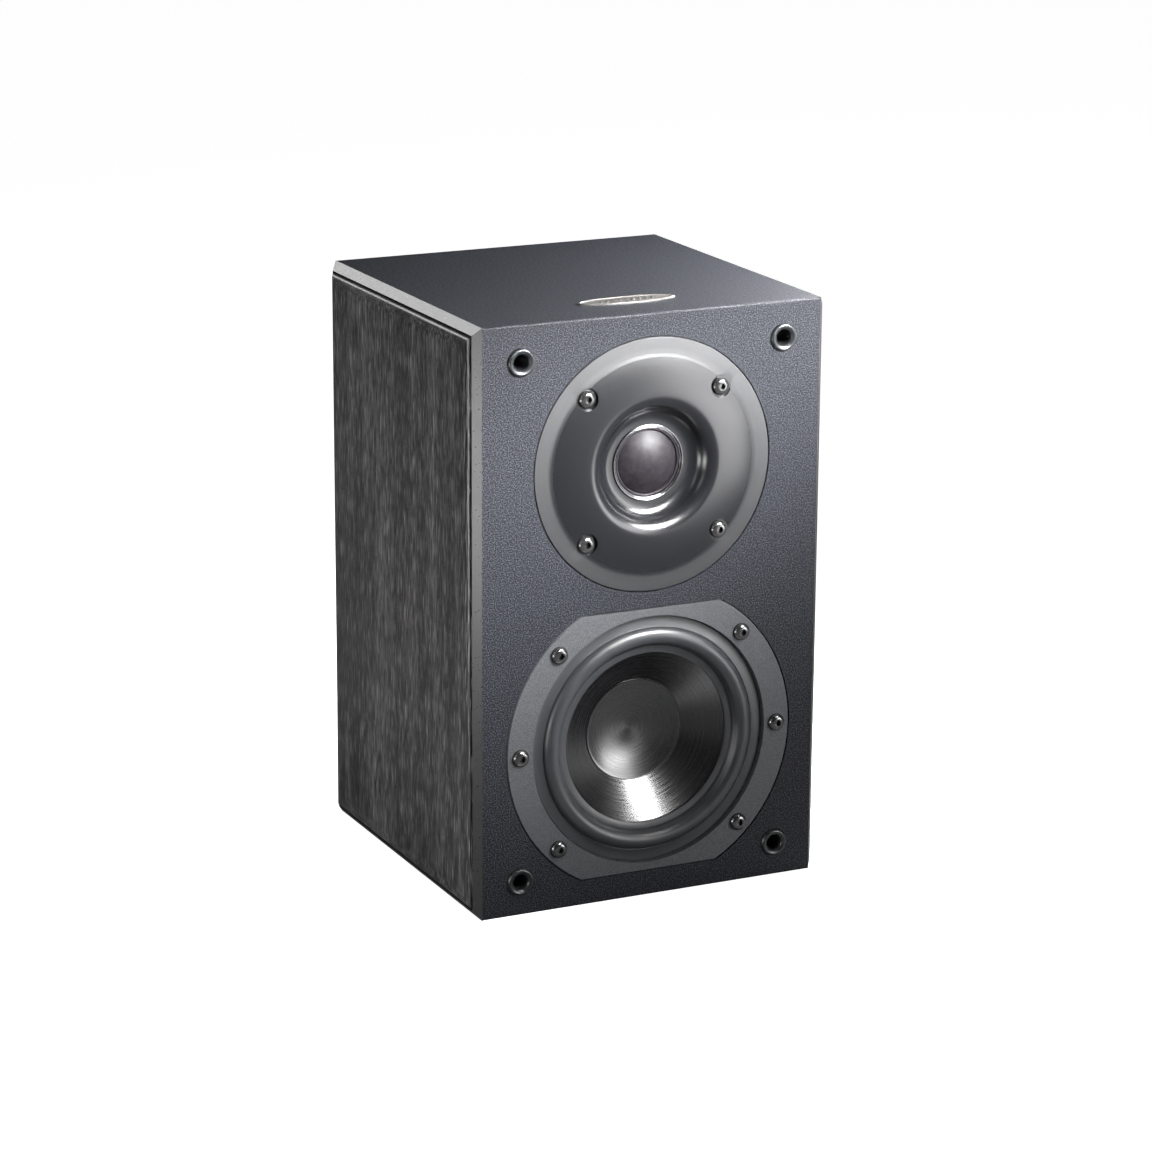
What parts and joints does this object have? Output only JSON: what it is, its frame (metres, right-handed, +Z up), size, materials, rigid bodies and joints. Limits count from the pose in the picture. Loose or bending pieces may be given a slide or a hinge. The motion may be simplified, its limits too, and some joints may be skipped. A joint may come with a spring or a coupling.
{
  "type": "bookshelf speaker",
  "caption": "Two-way bookshelf loudspeaker: boxed cabinet with side panels, a dome tweeter above a cone woofer, grille sockets, rear port and binding posts.",
  "frame": {"origin": "middle of the cabinet's flat base", "axes": "+Z up, the front with the drivers faces -Y, +X to the right seen from the front"},
  "size_m": [0.1564, 0.1542, 0.2408],
  "materials": {
    "vinyl_black": "textured vinyl wrap on fibreboard",
    "board_inner": "raw fibreboard",
    "trim_black": "satin",
    "ash_black": "black ash grain, satin",
    "badge_metal": "brushed",
    "socket_black": "satin",
    "faceplate_black": "satin moulded",
    "foam_black": "closed-cell foam",
    "ring_metal": "polished",
    "dome_silk": "coated silk",
    "former_paper": "thin film",
    "copper_wire": "enamelled wire",
    "steel_plate": "zinc plated",
    "ferrite": "dark ceramic magnet",
    "screw_black": "gloss black",
    "tin_tab": "tinned",
    "basket_black": "fine textured",
    "rubber_black": "satin",
    "cone_black": "gloss with fine circular brushing",
    "spider_cloth": "treated cloth",
    "board_green": "lacquered laminate",
    "nylon": "natural nylon",
    "zinc_screw": "zinc plated",
    "capacitor_film": "wrapped film",
    "resistor_ceramic": "white ceramic",
    "cable_black": "soft jacket",
    "port_black": "fine moulded",
    "cup_black": "fine moulded",
    "gold_plate": "plated",
    "knob_red": "translucent",
    "knob_black": "gloss",
    "brass": "turned",
    "wadding_white": "loose polyester fibre"
  },
  "bodies": {
    "cabinet": {"top_panel": "vinyl_black", "bottom_panel": "vinyl_black", "front_baffle": "vinyl_black", "back_panel": "vinyl_black", "side_board_right": "board_inner", "side_board_left": "board_inner", "edge_trim_right": "trim_black", "edge_trim_left": "trim_black", "side_panel_right": "ash_black", "side_panel_left": "ash_black", "badge_plate": "badge_metal", "grille_sockets": "socket_black", "woofer_screws": "screw_black", "tweeter_screws": "screw_black", "tweeter_faceplate": "faceplate_black", "tweeter_gasket": "foam_black", "tweeter_trim_ring": "ring_metal", "tweeter_surround": "dome_silk", "tweeter_top_plate": "steel_plate", "tweeter_magnet": "ferrite", "tweeter_yoke": "steel_plate", "tweeter_terminals": "tin_tab", "woofer_basket": "basket_black", "woofer_gasket": "foam_black", "woofer_surround": "rubber_black", "woofer_spider": "spider_cloth", "woofer_top_plate": "steel_plate", "woofer_magnet": "ferrite", "woofer_yoke": "steel_plate", "woofer_terminal_strip": "tin_tab", "woofer_tinsel_leads": "copper_wire", "woofer_cable": "cable_black", "tweeter_cable": "cable_black", "input_cable": "cable_black", "crossover_board": "board_green", "crossover_standoffs": "nylon", "crossover_screws": "zinc_screw", "woofer_inductor": "copper_wire", "tweeter_inductor": "copper_wire", "crossover_capacitors": "capacitor_film", "crossover_resistor": "resistor_ceramic", "port_tube": "port_black", "wall_mount_insert": "brass", "terminal_cup": "cup_black", "cup_screws": "screw_black", "terminal_studs": "gold_plate", "terminal_collars": "cup_black", "terminal_nuts": "brass", "acoustic_wadding": "wadding_white"},
    "woofer cone assembly": {"woofer_cone": "cone_black", "woofer_dust_cap": "cone_black", "woofer_former": "former_paper", "woofer_coil": "copper_wire"},
    "tweeter dome assembly": {"tweeter_dome": "dome_silk", "tweeter_former": "former_paper", "tweeter_coil": "copper_wire"},
    "red clamp": {"clamp_washer_red": "gold_plate"},
    "red knob": {"terminal_knob_red": "knob_red"},
    "black clamp": {"clamp_washer_black": "gold_plate"},
    "black knob": {"terminal_knob_black": "knob_black"}
  },
  "joints": [
    {"name": "woofer_stroke", "type": "slide", "parent": "cabinet", "child": "woofer cone assembly", "axis": [0, 1, 0], "range_m": [-0.0035, 0.0035], "stiffness_N_per_m": 1500, "deforming": ["woofer_surround", "woofer_spider", "woofer_tinsel_leads"]},
    {"name": "tweeter_stroke", "type": "slide", "parent": "cabinet", "child": "tweeter dome assembly", "axis": [0, 1, 0], "range_m": [-0.0004, 0.0004], "stiffness_N_per_m": 900, "deforming": ["tweeter_surround"]},
    {"name": "red_terminal_lift", "type": "slide", "parent": "cabinet", "child": "red clamp", "axis": [0, 1, 0], "range_m": [0, 0.0036]},
    {"name": "red_terminal_turn", "type": "hinge", "parent": "red clamp", "child": "red knob", "pos_m": [0.0095, 0.0658, 0.075], "axis": [0, 1, 0], "range_deg": [0, 1800]},
    {"name": "black_terminal_lift", "type": "slide", "parent": "cabinet", "child": "black clamp", "axis": [0, 1, 0], "range_m": [0, 0.0036]},
    {"name": "black_terminal_turn", "type": "hinge", "parent": "black clamp", "child": "black knob", "pos_m": [-0.0095, 0.0658, 0.075], "axis": [0, 1, 0], "range_deg": [0, 1800]}
  ],
  "couplings": [
    {"joint": "red_terminal_lift", "follows": "red_terminal_turn", "m_per_rad": 0.00011141},
    {"joint": "black_terminal_lift", "follows": "black_terminal_turn", "m_per_rad": 0.00011141}
  ]
}
